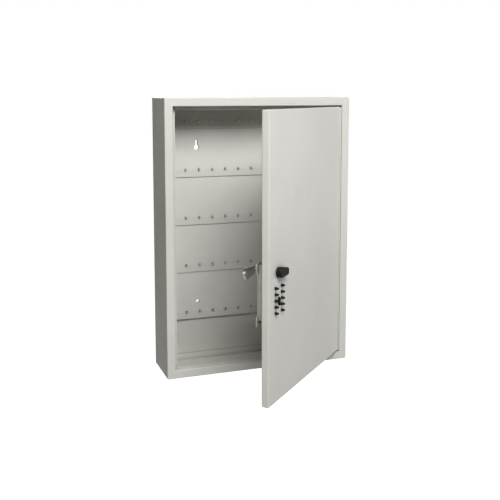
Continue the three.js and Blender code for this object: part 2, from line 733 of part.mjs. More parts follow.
buttonPlaces.forEach(([x, z], i) => {
  const number = i + 1;
  const cap = piece(`button_${number}`, button(), BLACK);
  cap.position.set(x, 0, z);
  const spring = piece(`button_spring_${number}`, buttonSpring(), SPRING);
  spring.position.set(x, BUTTON_SPRING_START, z);
  door.add(cap, spring);
});

const clear = piece('clear_slide', clearSlide(), BLACK);
clear.position.set(LOCK_X, 0, CLEAR_Z);
const clearReturn = piece('clear_slide_spring', clearSpring(), SPRING);
clearReturn.position.set(LOCK_X, CASE_FLOOR + 1.9, CLEAR_Z + 11.6);
door.add(clear, clearReturn, piece('detent_plate', detentPlate(), ZINC));
door.add(piece('locking_bar', lockingBar(), BRASS));

const turning = new THREE.Group();
turning.position.set(LOCK_X, 0, SPINDLE_Z);
turning.add(piece('lever', lever(), BLACK));
turning.add(piece('spindle', spindle(), ZINC));
turning.add(piece('drive_cam', driveCam(), BRASS));
turning.add(piece('latch_cam', latchCam(), ZINC));
turning.add(piece('cam_nut', camNut(), ZINC));
const leverReturn = piece('lever_spring', leverSpring(), SPRING);
leverReturn.position.y = 15;
turning.add(leverReturn);
door.add(turning);

export default keyCabinet;
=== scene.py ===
"""Looks of a wall key cabinet: folded powder-coated steel, shingled hook strips, and a
door on a piano hinge that carries a push-button lock.

Every piece is drawn in millimetres, in the cabinet's frame or in the shut door's frame,
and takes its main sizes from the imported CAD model.
"""

import json
import math

import bmesh
import bpy
from mathutils import Matrix, Vector
from mathutils.geometry import interpolate_bezier


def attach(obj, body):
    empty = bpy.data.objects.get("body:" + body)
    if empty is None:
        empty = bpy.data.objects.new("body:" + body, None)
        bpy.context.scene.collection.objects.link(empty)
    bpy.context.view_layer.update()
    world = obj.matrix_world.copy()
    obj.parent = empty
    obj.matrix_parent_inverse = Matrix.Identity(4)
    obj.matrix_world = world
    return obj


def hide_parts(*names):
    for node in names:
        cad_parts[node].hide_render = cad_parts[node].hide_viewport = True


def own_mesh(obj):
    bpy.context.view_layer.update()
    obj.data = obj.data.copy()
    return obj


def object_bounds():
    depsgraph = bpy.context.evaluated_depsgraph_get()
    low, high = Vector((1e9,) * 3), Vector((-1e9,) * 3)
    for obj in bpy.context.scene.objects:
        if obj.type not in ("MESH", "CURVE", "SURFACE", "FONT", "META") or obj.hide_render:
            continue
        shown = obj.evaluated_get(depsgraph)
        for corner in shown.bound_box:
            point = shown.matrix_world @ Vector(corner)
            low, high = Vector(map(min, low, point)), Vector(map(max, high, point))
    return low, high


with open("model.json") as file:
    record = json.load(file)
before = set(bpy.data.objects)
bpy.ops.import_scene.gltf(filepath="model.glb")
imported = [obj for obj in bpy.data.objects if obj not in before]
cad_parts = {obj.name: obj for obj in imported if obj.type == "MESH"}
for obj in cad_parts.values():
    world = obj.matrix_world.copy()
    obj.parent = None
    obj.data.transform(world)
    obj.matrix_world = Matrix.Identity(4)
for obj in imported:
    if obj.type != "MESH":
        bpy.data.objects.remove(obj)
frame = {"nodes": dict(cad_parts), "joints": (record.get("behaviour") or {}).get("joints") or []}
CAD_BOX = [list(corner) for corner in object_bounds()]

MM = 0.001
SHEET = 1.2

# ---------------------------------------------------------------- frames and sizes


def joint(name):
    return next(j for j in frame["joints"] if j["name"] == name)


hinge = joint("door_hinge")
CABINET = Matrix.Identity(4)
DOOR = Matrix.Translation(Vector(hinge["pos_m"])) @ Matrix.Rotation(
    math.radians(-hinge["range_deg"][0]), 4, "Z"
)


def span(node, place=CABINET):
    """Lowest and highest corner of a CAD node in millimetres, in the frame of place."""
    back = place.inverted()
    points = [back @ v.co / MM for v in frame["nodes"][node].data.vertices]
    return Vector(map(min, zip(*points))), Vector(map(max, zip(*points)))


spindle_place = DOOR.inverted() @ Vector(joint("lever_turn")["pos_m"]) / MM
LOCK_X = spindle_place.x
SPINDLE_Z = spindle_place.z
LOCK = DOOR @ Matrix.Translation(Vector((LOCK_X, 0, SPINDLE_Z)) * MM)

# ---------------------------------------------------------------- outlines


def arc_at(before_point, corner, after_point, radius, steps):
    """Points of the arc that rounds one corner of an outline."""
    before = (corner - before_point).normalized()
    after = (after_point - corner).normalized()
    turn = math.atan2(before.cross(after), before.dot(after))
    if abs(turn) < 1e-6 or radius <= 0:
        return [corner]
    side = math.copysign(1, turn)
    start = corner - before * radius * math.tan(abs(turn) / 2)
    centre = start + Vector((-before.y, before.x)) * side * radius
    return [
        centre + Matrix.Rotation(turn * i / steps, 2) @ (start - centre)
        for i in range(steps + 1)
    ]


def rounded(corners, radius, steps=5):
    """A closed outline with every corner rounded. radius is one number or one a corner."""
    corners = [Vector(c) for c in corners]
    radii = radius if isinstance(radius, (list, tuple)) else [radius] * len(corners)
    points = []
    for i, corner in enumerate(corners):
        following = corners[(i + 1) % len(corners)]
        points += arc_at(corners[i - 1], corner, following, radii[i], steps)
    return points


def rectangle(x0, x1, z0, z1, radius, steps=5):
    return rounded([(x0, z0), (x1, z0), (x1, z1), (x0, z1)], radius, steps)


def circle(x, z, radius, sides=32):
    turns = [2 * math.pi * i / sides for i in range(sides)]
    return [Vector((x + radius * math.cos(a), z + radius * math.sin(a))) for a in turns]


def curve(start, control, end, steps=12):
    """Points of a quadratic curve, without its start."""
    start, control, end = Vector(start), Vector(control), Vector(end)
    steps_done = [i / steps for i in range(1, steps + 1)]
    return [
        start * (1 - t) ** 2 + control * 2 * t * (1 - t) + end * t**2
        for t in steps_done
    ]


def beside(path, distance, bend, steps=4):
    """The line at a distance to the left of a folded path, with each fold an arc."""
    path = [Vector(p) for p in path]
    line = []
    for i, point in enumerate(path):
        before = (point - path[i - 1]).normalized() if i else None
        after = (path[i + 1] - point).normalized() if i + 1 < len(path) else None
        if before is None or after is None:
            along = after if before is None else before
            line.append(point + Vector((-along.y, along.x)) * distance)
            continue
        turn = math.atan2(before.cross(after), before.dot(after))
        side = math.copysign(1, turn)
        start = point - before * bend * math.tan(abs(turn) / 2)
        centre = start + Vector((-before.y, before.x)) * side * bend
        arm = (start - centre) * (bend - side * distance) / bend
        line += [
            centre + Matrix.Rotation(turn * k / steps, 2) @ arm for k in range(steps + 1)
        ]
    return line


def folded(path, thickness, bend, steps=4):
    """The closed outline of a sheet whose middle follows a folded path."""
    left = beside(path, thickness / 2, bend, steps)
    right = beside(path, -thickness / 2, bend, steps)
    return left + right[::-1]


# ---------------------------------------------------------------- meshes


def loft(loops, ring=False):
    """A skin over loops with equal numbers of points, closed by its ends or as a ring."""
    bm = bmesh.new()
    rows = [[bm.verts.new(p) for p in loop] for loop in loops]
    pairs = list(zip(rows, rows[1:]))
    if ring:
        pairs.append((rows[-1], rows[0]))
    for near, far in pairs:
        for i in range(len(near)):
            j = (i + 1) % len(near)
            bm.faces.new((near[i], near[j], far[j], far[i]))
    if not ring:
        bm.faces.new(rows[0][::-1])
        bm.faces.new(rows[-1])
    return bm


def prism(outline, y0, y1):
    """An outline in X and Z drawn out along Y."""
    return loft([[(x, y, z) for x, z in outline] for y in (y0, y1)])


def bar(outline, x0, x1):
    """An outline in Y and Z drawn out along X."""
    return loft([[(x, y, z) for y, z in outline] for x in (x0, x1)])


def column(outline, z0, z1):
    """An outline in X and Y drawn out along Z."""
    return loft([[(x, y, z) for x, y in outline] for z in (z0, z1)])


def lathe(profile, sides=28, ring=False, x=0, z=0):
    """Pairs of radius and y turned about a line along Y. A radius of 0 is a pole."""
    bm = bmesh.new()
    rows = []
    for radius, y in profile:
        turns = [2 * math.pi * i / sides for i in range(sides if radius else 1)]
        rows.append(
            [
                bm.verts.new((x + radius * math.cos(a), y, z + radius * math.sin(a)))
                for a in turns
            ]
        )
    pairs = list(zip(rows, rows[1:]))
    if ring:
        pairs.append((rows[-1], rows[0]))
    for near, far in pairs:
        for i in range(sides):
            j = (i + 1) % sides
            corners = [
                near[i % len(near)],
                near[j % len(near)],
                far[j % len(far)],
                far[i % len(far)],
            ]
            bm.faces.new(list(dict.fromkeys(corners)))
    return bm


def pole(x, z, radius, y0, y1, sides=32):
    """A round cutting tool along Y."""
    return prism(circle(x, z, radius, sides), y0, y1)


def block(x0, x1, y0, y1, z0, z1):
    """A cutting tool between two corners."""
    return prism(rectangle(x0, x1, z0, z1, 0), y0, y1)


def spring(radius, wire, length, turns, around=16, sides=8):
    """A coil along Y from the origin, with a closed turn at each end."""
    total = turns + 2
    count = int(total * around)
    rise = length - wire
    loops = []
    for i in range(count + 1):
        turn = i / around
        lift = min(max(turn - 1, 0), turns) / turns
        angle = 2 * math.pi * turn
        out = Vector((math.cos(angle), 0, math.sin(angle)))
        centre = out * radius + Vector((0, wire / 2 + rise * lift, 0))
        tilt = [2 * math.pi * k / sides for k in range(sides)]
        loops.append(
            [
                centre + (out * math.cos(a) + Vector((0, math.sin(a), 0))) * wire / 2
                for a in tilt
            ]
        )
    return loft(loops)


def gathered(pieces):
    """Several meshes as one, each still a shell of its own."""
    whole = bmesh.new()
    for piece in pieces:
        mesh = bpy.data.meshes.new("part")
        bmesh.ops.recalc_face_normals(piece, faces=piece.faces)
        piece.to_mesh(mesh)
        piece.free()
        whole.from_mesh(mesh)
        bpy.data.meshes.remove(mesh)
    return whole


def temporary(bm):
    mesh = bpy.data.meshes.new("tool")
    bmesh.ops.recalc_face_normals(bm, faces=bm.faces)
    bm.to_mesh(mesh)
    bm.free()
    obj = bpy.data.objects.new("tool", mesh)
    bpy.context.scene.collection.objects.link(obj)
    return obj


def combine(bm, tools, operation):
    base = temporary(bm)
    tool = temporary(gathered(tools))
    modifier = base.modifiers.new("combine", "BOOLEAN")
    modifier.operation = operation
    modifier.solver = "EXACT"
    modifier.use_self = operation == "UNION"
    modifier.object = tool
    result = bmesh.new()
    result.from_object(base, bpy.context.evaluated_depsgraph_get())
    for obj in (base, tool):
        mesh = obj.data
        bpy.data.objects.remove(obj)
        bpy.data.meshes.remove(mesh)
    return result


def cut(bm, tools):
    return combine(bm, tools, "DIFFERENCE")


def join(bm, pieces):
    return combine(bm, pieces, "UNION")


# ---------------------------------------------------------------- finishes


class Finish:
    """A procedural material: nodes are added one by one and joined to its shader."""

    def __init__(self, name, **sockets):
        self.material = bpy.data.materials.new(name)
        self.material.use_nodes = True
        self.tree = self.material.node_tree
        self.shader = self.tree.nodes["Principled BSDF"]
        for socket, value in sockets.items():
            self.shader.inputs[socket.replace("_", " ")].default_value = value
        self.place = self.add("ShaderNodeTexCoord").outputs["Object"]

    def add(self, kind, **settings):
        node = self.tree.nodes.new(kind)
        for key, value in settings.items():
            if hasattr(node, key):
                setattr(node, key, value)
            else:
                node.inputs[key.replace("_", " ")].default_value = value
        return node

    def link(self, output, target):
        self.tree.links.new(output, target)

    def noise(self, scale, detail=2.0, roughness=0.5, stretch=None):
        """Noise with features about 1/scale metres wide."""
        node = self.add("ShaderNodeTexNoise", Scale=scale, Detail=detail, Roughness=roughness)
        source = self.place
        if stretch:
            mapping = self.add("ShaderNodeMapping", Scale=stretch)
            self.link(source, mapping.inputs["Vector"])
            source = mapping.outputs["Vector"]
        self.link(source, node.inputs["Vector"])
        return node.outputs["Fac"]

    def between(self, value, low, high, to_low, to_high):
        """value spread from low..high onto to_low..to_high, and held at its ends."""
        node = self.add("ShaderNodeMapRange")
        numbers = {"From Min": low, "From Max": high, "To Min": to_low, "To Max": to_high}
        for socket, number in numbers.items():
            node.inputs[socket].default_value = number
        self.link(value, node.inputs["Value"])
        return node.outputs["Result"]

    def blend(self, factor, first, second):
        """Colour first where factor is 0 and second where it is 1."""
        node = self.add("ShaderNodeMix", data_type="RGBA")
        self.link(factor, node.inputs[0])
        for socket, colour in ((node.inputs[6], first), (node.inputs[7], second)):
            if isinstance(colour, tuple):
                socket.default_value = (*colour, 1)
            else:
                self.link(colour, socket)
        return node.outputs[2]

    def bump(self, layers):
        """Bumps laid over each other: each layer is a height output and its depth in metres."""
        normal = None
        for height, depth in layers:
            node = self.add("ShaderNodeBump", Strength=1.0, Distance=depth)
            self.link(height, node.inputs["Height"])
            if normal is not None:
                self.link(normal, node.inputs["Normal"])
            normal = node.outputs["Normal"]
        self.link(normal, self.shader.inputs["Normal"])

    def edges(self, radius):
        """About 1 along sharp outer and inner edges, 0 on open faces."""
        near = self.add("ShaderNodeBevel", samples=4, Radius=radius)
        geometry = self.add("ShaderNodeNewGeometry")
        dot = self.add("ShaderNodeVectorMath", operation="DOT_PRODUCT")
        self.link(near.outputs["Normal"], dot.inputs[0])
        self.link(geometry.outputs["Normal"], dot.inputs[1])
        return self.between(dot.outputs["Value"], 0.99, 0.86, 0, 1)

    def painted_crease_shade(self, distance):
        """A mask for painted shade: 0 in open air and 1 deep in a crease."""
        node = self.add("ShaderNodeAmbientOcclusion", samples=4, Distance=distance)
        return self.between(node.outputs["AO"], 0.85, 0.25, 0, 1)


def scaled(colour, factor):
    return tuple(channel * factor for channel in colour)


def powder_coat():
    """Satin polyester powder: a fine orange peel, faint clouding, thin edges, and creases darkened
    with painted shade.
    """
    base = (0.63, 0.62, 0.58)
    finish = Finish("powder_coat", Roughness=0.5, IOR=1.5)
    cloud = finish.between(finish.noise(9, 3), 0.35, 0.65, 0, 1)
    colour = finish.blend(cloud, scaled(base, 0.975), scaled(base, 1.02))
    worn = finish.noise(160, 4)
    edge = finish.edges(0.0009)
    wear = finish.add("ShaderNodeMath", operation="MULTIPLY")
    finish.link(edge, wear.inputs[0])
    finish.link(finish.between(worn, 0.42, 0.62, 0.1, 0.55), wear.inputs[1])
    colour = finish.blend(wear.outputs[0], colour, (0.70, 0.70, 0.67))
    # Painted shade: creases are darkened toward a quarter of the base colour.
    colour = finish.blend(
        finish.between(finish.painted_crease_shade(0.009), 0, 1, 0, 0.8), colour, scaled(base, 0.25)
    )
    finish.link(colour, finish.shader.inputs["Base Color"])
    gloss = finish.between(finish.noise(40, 4, 0.6), 0.3, 0.7, 0.40, 0.54)
    finish.link(gloss, finish.shader.inputs["Roughness"])
    finish.bump([(finish.noise(420, 2), 0.00011), (finish.noise(1500, 2), 0.00004)])
    return finish.material


def metal(name, base, dark, roughness, grain, stretch=None, peel=0.00003, metallic=1.0):
    """Plated or machined metal: stained patches, fine marks, bright edges, and creases darkened
    with painted shade.
    """
    finish = Finish(name, Metallic=metallic)
    patch = finish.between(finish.noise(90, 4), 0.35, 0.68, 0, 1)
    colour = finish.blend(patch, base, dark)
    colour = finish.blend(
        finish.between(finish.edges(0.0005), 0, 1, 0, 0.6), colour, scaled(base, 1.18)
    )
    # Painted shade: creases are darkened toward a fifth of the base colour.
    colour = finish.blend(
        finish.between(finish.painted_crease_shade(0.006), 0, 1, 0, 0.8), colour, scaled(base, 0.2)
    )
    finish.link(colour, finish.shader.inputs["Base Color"])
    marks = finish.noise(grain, 5, 0.6, stretch)
    rough = finish.between(marks, 0.3, 0.7, roughness - 0.08, roughness + 0.12)
    finish.link(rough, finish.shader.inputs["Roughness"])
    finish.bump([(marks, peel)])
    return finish.material


def black_moulding():
    """Black moulded plastic with a fine spark-eroded grain, rubbed smooth at its edges."""
    base = (0.0055, 0.0055, 0.0058)
    finish = Finish("black_moulding", IOR=1.42, Specular_IOR_Level=0.3)
    cloud = finish.between(finish.noise(300, 3), 0.35, 0.65, 0, 1)
    colour = finish.blend(cloud, base, (0.0085, 0.0082, 0.0082))
    edge = finish.edges(0.0006)
    colour = finish.blend(finish.between(edge, 0, 1, 0, 0.5), colour, (0.022, 0.021, 0.02))
    finish.link(colour, finish.shader.inputs["Base Color"])
    gloss = finish.between(finish.noise(700, 3), 0.3, 0.7, 0.46, 0.62)
    finish.link(gloss, finish.shader.inputs["Roughness"])
    finish.bump([(finish.noise(2600, 2), 0.00003)])
    return finish.material


PAINT = (powder_coat(), "paint")
ZINC = (
    metal("zinc_plate", (0.76, 0.735, 0.68), (0.67, 0.65, 0.60), 0.4, 600, metallic=0.7),
    "zinc",
)
CAM = (metal("cam_zinc", (0.64, 0.62, 0.585), (0.53, 0.51, 0.48), 0.34, 600), "zinc")
CAST = (
    metal(
        "cast_alloy", (0.61, 0.595, 0.55), (0.52, 0.505, 0.465), 0.5, 1300,
        peel=0.00009, metallic=0.5,
    ),
    "cast_case",
)
BLACK = (black_moulding(), "black_plastic")
SCREW = (metal("black_screw", (0.045, 0.045, 0.045), (0.03, 0.03, 0.03), 0.38, 700), "black_steel")
WIRE = (
    metal("spring_wire", (0.50, 0.50, 0.50), (0.38, 0.38, 0.39), 0.26, 900),
    "spring_steel",
)
BRASS = (
    metal("brass_machined", (0.62, 0.46, 0.22), (0.50, 0.35, 0.16), 0.3, 300, (1, 1, 14)),
    "brass",
)

# ---------------------------------------------------------------- pieces


def piece(name, bm, finish, body, nodes, place=CABINET, edge=0.0, smooth=34):
    """A mesh drawn in millimetres becomes a piece that stands for CAD nodes of a body."""
    bmesh.ops.remove_doubles(bm, verts=bm.verts, dist=1e-4)
    bmesh.ops.recalc_face_normals(bm, faces=bm.faces)
    bm.transform(place @ Matrix.Scale(MM, 4))
    mesh = bpy.data.meshes.new(name)
    bm.to_mesh(mesh)
    bm.free()
    mesh.shade_smooth()
    mesh.set_sharp_from_angle(angle=math.radians(smooth))
    obj = bpy.data.objects.new(name, mesh)
    bpy.context.scene.collection.objects.link(obj)
    if edge:
        bevel = obj.modifiers.new("edges", "BEVEL")
        bevel.width = edge * MM
        bevel.segments = 2
        bevel.limit_method = "ANGLE"
        bevel.angle_limit = math.radians(smooth + 4)
        bevel.harden_normals = True
    obj.modifiers.new("normals", "WEIGHTED_NORMAL").keep_sharp = True
    material, slot = finish
    mesh.materials.append(material)
    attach(obj, body)
    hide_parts(*nodes)
    return obj


def refinish(node, finish, edge=0.3):
    """A CAD node that stays: its own mesh, with softened edges and a real finish."""
    obj = frame["nodes"][node]
    flat = obj.modifiers.new("flat", "DECIMATE")
    flat.decimate_type = "DISSOLVE"
    flat.angle_limit = math.radians(1)
    bevel = obj.modifiers.new("edges", "BEVEL")
    bevel.width = edge * MM
    bevel.segments = 2
    bevel.limit_method = "ANGLE"
    bevel.angle_limit = math.radians(50)
    bevel.harden_normals = True
    obj.data.materials.clear()
    obj.data.materials.append(finish[0])


# ---------------------------------------------------------------- cabinet

FLANGE = 15
JAMB = 14
LIP = 6.4
BOTTOM_LIP = 1
REAR_FLANGE = 13
BEND = 1.2
WELD_MARKS = 77.4
WELD_MARK_FROM_JAMB = 4.6
WELD_MARK_RADIUS = 2.5
KEYHOLE_X = 92.6
KEYHOLE_ROUND = (155, 5)
KEYHOLE_SLOT = 4.8
KEYHOLE_TOP = 168.7
SCREW_HOLE = (-133.4, 3.2)

low, high = span("cabinet_body")


def rim_loops(paths, x, z0, z1, corner):
    """A folded sheet's outline carried round a rectangle. paths are the outlines at the
    sides and top and at the bottom, as pairs of inset and y."""
    loops = []
    for (inset, y), (inset_below, _) in zip(*paths):
        radius = max(corner - inset, 0.12)
        outline = rectangle(-x + inset, x - inset, z0 + inset_below, z1 - inset, radius, 4)
        loops.append([(px, y, pz) for px, pz in outline])
    return loops


def cabinet_shell():
    """The wrapper: rear flange, wall, front flange, jamb and stop lip, folded as one."""
    half = SHEET / 2
    rear, front = high.y - half, low.y + half

    def section(lip):
        path = [
            (REAR_FLANGE, rear),
            (half, rear),
            (half, front),
            (FLANGE - half, front),
            (FLANGE - half, front + JAMB + half),
            (FLANGE + lip, front + JAMB + half),
        ]
        return folded(path, SHEET, BEND)

    paths = section(LIP), section(BOTTOM_LIP)
    shell = loft(rim_loops(paths, high.x, low.z, high.z, BEND + half), ring=True)
    dimples = []
    for z in (WELD_MARKS, -WELD_MARKS):
        profile = [
            (0, low.y + 0.32), (1.4, low.y + 0.22), (WELD_MARK_RADIUS, low.y - 0.02),
            (WELD_MARK_RADIUS, low.y - 1), (0, low.y - 1),
        ]
        dimples.append(lathe(profile, 24, x=high.x - FLANGE + WELD_MARK_FROM_JAMB, z=z))
    return cut(shell, dimples)


def wall_holes(y0, y1, rows=("keyhole", "round")):
    """Cutting tools for the two keyholes and the two round screw holes."""
    tools = []
    centre, radius = KEYHOLE_ROUND
    slot = KEYHOLE_SLOT / 2
    for x in (-KEYHOLE_X, KEYHOLE_X):
        if "keyhole" in rows:
            start = math.acos(slot / radius)
            sweep = 2 * math.pi - (math.pi - 2 * start)
            head = [start - sweep * i / 28 for i in range(29)]
            outline = [
                Vector((x + radius * math.cos(a), centre + radius * math.sin(a))) for a in head
            ]
            top = KEYHOLE_TOP - slot
            outline += [
                Vector((x - slot * math.cos(a), top + slot * math.sin(a)))
                for a in (math.pi * i / 12 for i in range(13))
            ]
            tools.append(prism(outline, y0, y1))
        if "round" in rows:
            tools.append(pole(x, SCREW_HOLE[0], SCREW_HOLE[1], y0, y1))
    return tools


def back_sheet():
    sheet_low, sheet_high = span("back_panel")
    outline = rectangle(sheet_low.x, sheet_high.x, sheet_low.z, sheet_high.z, BEND)
    return cut(prism(outline, sheet_low.y, sheet_high.y), wall_holes(-5, 3))


piece("cabinet_shell", cabinet_shell(), PAINT, "cabinet", ["cabinet_body"], smooth=30)
piece("back_sheet", back_sheet(), PAINT, "cabinet", ["back_panel"], edge=0.25)

# ---------------------------------------------------------------- hook strips

STRIPS = 5
STRIP_SHEET = 1
HOOKS = 12
HOOK_PITCH = 25.4
HOOK_ABOVE_SEAM = 13.3
SEAM_Y, FOLD_Y, TUCKED_Y = -6.2, -6.9, -4.1
HOOK_HALF = 1.7
# Y and Z of a hook's root and tip, from the strip's fold.
HOOK_ROOT = (0.5, -3.1)
HOOK_TIP = (-3.9, 1.3)
WINDOW_HALF = 2.1
WINDOW_BELOW, WINDOW_ABOVE = 2.3, 2.2
WINDOW_CORNER = 1.9


def key_hook(x, z):
    """A lanced tongue that slopes out of the strip and up to a rounded tip."""
    root = Vector((0, FOLD_Y + HOOK_ROOT[0], z + HOOK_ROOT[1]))
    tip = Vector((0, FOLD_Y + HOOK_TIP[0], z + HOOK_TIP[1]))
    handles = root + Vector((0, -1.6, 1.0)), tip - Vector((0, -1.5, 1.7))
    steps = 12
    spine = interpolate_bezier(root, handles[0], handles[1], tip, steps)
    loops = []
    for i, point in enumerate(spine):
        along = spine[min(i + 1, steps - 1)] - spine[max(i - 1, 0)]
        out = Vector((0, along.z, -along.y)).normalized()
        share = i / (steps - 1)
        taper = math.sqrt(max(1 - max(share - 0.72, 0) ** 2 / 0.29**2, 0.02))
        section = rectangle(-HOOK_HALF * taper, HOOK_HALF * taper, -0.5, 0.5, 0.22, 2)
        loops.append([point + Vector((x + u, 0, 0)) + out * v for u, v in section])
    return loft(loops)


def key_strip(row):
    """A shingled sheet with an outward fold along its row of windows and hooks."""
    strip_low, strip_high = span(f"hook_strip_{row}")
    # The seam is the sheet's lower edge, and the sheet tucks under the strip above.
    seam, tucked = strip_low.z, strip_high.z
    fold = seam + HOOK_ABOVE_SEAM
    half = STRIP_SHEET / 2
    path = [(SEAM_Y + half, seam), (FOLD_Y + half, fold), (TUCKED_Y + half, tucked)]
    sheet = bar(folded(path, STRIP_SHEET, 9, 3), strip_low.x, strip_high.x)
    windows, hooks = [], []
    for i in range(HOOKS):
        x = (i - (HOOKS - 1) / 2) * HOOK_PITCH
        outline = rectangle(
            x - WINDOW_HALF, x + WINDOW_HALF, fold - WINDOW_BELOW, fold + WINDOW_ABOVE,
            WINDOW_CORNER,
        )
        windows.append(prism(outline, FOLD_Y - 3, FOLD_Y + 4))
        hooks.append(key_hook(x, fold))
    if seam < KEYHOLE_ROUND[0] < tucked:
        windows += wall_holes(-12, 1, ("keyhole",))
    if seam < SCREW_HOLE[0] < tucked:
        windows += wall_holes(-12, 1, ("round",))
    return join(cut(sheet, windows), hooks)


for row in range(1, STRIPS + 1):
    node = f"hook_strip_{row}"
    piece(f"key_strip_{row}", key_strip(row), PAINT, "cabinet", [node], edge=0.12)


def strike_plate():
    """An angle on the left wall that the latch cam turns behind."""
    near, far = span("latch_strike")
    half = 0.75
    path = [(near.x + half, far.y), (near.x + half, near.y + half), (far.x, near.y + half)]
    return column(folded(path, 2 * half, 1.4), near.z, far.z)


piece("strike_plate", strike_plate(), ZINC, "cabinet", ["latch_strike"], edge=0.25)

# ---------------------------------------------------------------- hinge

KNUCKLES = 15
ROLL_OUTSIDE = 2.4
ROLL_SHEET = 0.95
ROLL_END_GAP = 0.3
ROLL_SWEEP = math.radians(285)
LEAF_START = 2.9
PIN_PROUD = 0.6


def hinge_half(node, first, side):
    """A leaf with every second knuckle rolled from the same sheet. side is -1 or 1."""
    _, leaf_high = span(node, DOOR if side < 0 else CABINET)
    _, pin_high = span("hinge_pin")
    edge = leaf_high.y if side < 0 else leaf_high.y - hinge["pos_m"][1] / MM
    middle = ROLL_OUTSIDE - ROLL_SHEET / 2
    steps = 26
    turns = [math.pi + ROLL_SWEEP * i / steps for i in range(steps + 1)]
    path = [(-middle, edge)] + [(middle * math.cos(a), middle * math.sin(a)) for a in turns]
    inner, outer = [], []
    for i, point in enumerate(path):
        direction = Vector(path[min(i + 1, len(path) - 1)]) - Vector(path[max(i - 1, 0)])
        if i in (0, 1):
            direction = Vector((0, -1))
        across = Vector((-direction.y, direction.x)).normalized() * ROLL_SHEET / 2
        inner.append(Vector(point) + across)
        outer.append(Vector(point) - across)
    roll = [Vector((-side * p.x, p.y)) for p in inner + outer[::-1]]
    pitch = 2 * (pin_high.z - PIN_PROUD) / KNUCKLES
    low_end = -KNUCKLES * pitch / 2
    x0, x1 = sorted((side * ROLL_OUTSIDE, side * (ROLL_OUTSIDE - ROLL_SHEET)))
    end = edge - 0.02
    leaf = column([(x0, LEAF_START), (x1, LEAF_START), (x1, end), (x0, end)], low_end, -low_end)
    knuckles = []
    for i in range(first, KNUCKLES, 2):
        start = low_end + i * pitch + ROLL_END_GAP / 2
        knuckles.append(column(roll, start, start + pitch - ROLL_END_GAP))
    return join(leaf, knuckles)


def hinge_rod():
    near, far = span("hinge_pin")
    radius = (far.x - near.x) / 2
    ends = [(0, near.z), (radius * 0.7, near.z + 0.1), (radius, near.z + 0.5)]
    profile = ends + [(r, -z) for r, z in reversed(ends)]
    rod = lathe(profile, 20)
    rod.transform(Matrix.Rotation(math.radians(90), 4, "X"))
    return rod


HINGE = Matrix.Translation(Vector(hinge["pos_m"]))
piece("hinge_half_cabinet", hinge_half("hinge_leaf_cabinet", 0, 1), PAINT, "cabinet",
      ["hinge_leaf_cabinet"], HINGE, edge=0.12)
piece("hinge_half_door", hinge_half("hinge_leaf_door", 1, -1), PAINT, "door",
      ["hinge_leaf_door"], DOOR, edge=0.12)
piece("hinge_rod", hinge_rod(), ZINC, "cabinet", ["hinge_pin"], HINGE)

# ---------------------------------------------------------------- door

DOOR_BACK_FLANGE = 12
DOOR_BEND = 1.5
BUTTON_HOLE = 2.95
SPINDLE_HOLE = 4.6
CLEAR_SLOT = (1.6, 6.5)
SLIDER_BELOW, SLIDER_ABOVE = 10, 11
door_low, door_high = span("door_panel", DOOR)
BUTTONS = 10
buttons = [span(f"button_{i + 1}", DOOR) for i in range(BUTTONS)]
button_places = [((a + b) / 2).xz for a, b in buttons]
clear_low, clear_high = span("clear_slide", DOOR)
CLEAR_Z = clear_low.z + SLIDER_BELOW


def door_pan():
    """A pan folded from one sheet: face, four returns and a narrow flange at the back."""
    half = SHEET / 2
    front, rear = door_low.y + half, door_high.y - half
    path = [(9, front), (half, front), (half, rear), (DOOR_BACK_FLANGE, rear)]
    outer = beside(path, half, DOOR_BEND, 5)
    inner = beside(path, -half, DOOR_BEND, 5)
    loops = []
    for inset, y in outer + inner[::-1]:
        radius = max(DOOR_BEND + half - inset, 0.12)
        outline = rectangle(
            door_low.x + inset, door_high.x - inset, door_low.z + inset, door_high.z - inset,
            radius, 4,
        )
        loops.append([(x, y, z) for x, z in outline])
    pan = loft(loops)
    start, end = door_low.y - 1, 2
    holes = [pole(x, z, BUTTON_HOLE, start, end) for x, z in button_places]
    holes.append(pole(LOCK_X, SPINDLE_Z, SPINDLE_HOLE, start, end))
    half_x, half_z = CLEAR_SLOT
    slot = rectangle(LOCK_X - half_x, LOCK_X + half_x, CLEAR_Z - half_z, CLEAR_Z + half_z, 0.6)
    holes.append(prism(slot, start, end))
    return cut(pan, holes)


piece("door_pan", door_pan(), PAINT, "door", ["door_panel"], DOOR, smooth=30)

# ---------------------------------------------------------------- lock on the door's back

WAIST = 21.5
EAR_HEIGHT = 14
EAR_SHOULDER = 4
SCREW_PASSAGE = 2.2
SCREW_HEAD = 2.7
plate_low, plate_high = span("lock_rear_plate", DOOR)
screw_spans = [span(f"lock_screw_{i + 1}", DOOR) for i in range(4)]
screw_places = [((a + b) / 2).xz for a, b in screw_spans]


def lock_cover():
    """The sheet behind the lock, with wide ears at both ends and round corners."""
    ear = (plate_high.x - plate_low.x) / 2
    top, bottom = plate_high.z - EAR_HEIGHT, plate_low.z + EAR_HEIGHT
    corners = [
        (-ear, plate_low.z), (ear, plate_low.z), (ear, bottom),
        (WAIST, bottom + EAR_SHOULDER), (WAIST, top - EAR_SHOULDER),
        (ear, top), (ear, plate_high.z), (-ear, plate_high.z), (-ear, top),
        (-WAIST, top - EAR_SHOULDER), (-WAIST, bottom + EAR_SHOULDER), (-ear, bottom),
    ]
    radii = [4.5, 4.5, 3, 3, 3, 3, 4.5, 4.5, 3, 3, 3, 3]
    outline = [Vector((LOCK_X + x, z)) for x, z in rounded(corners, radii)]
    cover = prism(outline, plate_low.y, plate_high.y)
    start, end = plate_low.y - 1, plate_high.y + 1
    holes = [pole(x, z, SCREW_PASSAGE, start, end, 24) for x, z in screw_places]
    holes.append(pole(LOCK_X, SPINDLE_Z, SPINDLE_HOLE, start, end))
    return cut(cover, holes)


